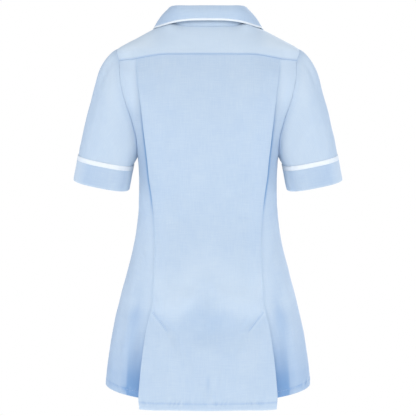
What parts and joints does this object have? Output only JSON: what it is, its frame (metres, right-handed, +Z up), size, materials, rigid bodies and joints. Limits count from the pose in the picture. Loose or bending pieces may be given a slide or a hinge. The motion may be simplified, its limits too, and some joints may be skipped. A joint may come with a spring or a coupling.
{
  "type": "revere collar tunic",
  "caption": "Short-sleeved revere collar work tunic with a buttoned front, a back yoke and two action pleats, filled out as when worn.",
  "frame": {"origin": "on the centre line, at the level of the back neck seam, halfway between front and back at the shoulder seams, where the wearer's neck and shoulders hold the tunic up", "axes": "+Z up, along the wearer's spine; the wearer faces -Y; +X towards the wearer's left"},
  "size_m": [0.5592, 0.2788, 0.8047],
  "materials": {
    "blue_polycotton": "sky-blue plain-weave polycotton, matt, pressed, with fine topstitching",
    "white_trim": "white polycotton piping and tape, matt",
    "blue_button": "moulded polyester button in the cloth's blue, softly glossy"
  },
  "bodies": {
    "root": {"yoke": "blue_polycotton", "back_centre": "blue_polycotton", "side_back_left": "blue_polycotton", "side_back_right": "blue_polycotton", "front_left": "blue_polycotton", "front_right": "blue_polycotton", "lapel_left": "blue_polycotton", "lapel_right": "blue_polycotton", "lapel_piping_left": "white_trim", "lapel_piping_right": "white_trim", "collar": "blue_polycotton", "collar_piping": "white_trim", "sleeve_left": "blue_polycotton", "sleeve_right": "blue_polycotton", "sleeve_tape_left": "white_trim", "sleeve_tape_right": "white_trim", "cuff_left": "blue_polycotton", "cuff_right": "blue_polycotton", "button_1": "blue_button", "button_2": "blue_button", "button_3": "blue_button", "button_4": "blue_button", "button_5": "blue_button"}
  },
  "joints": []
}
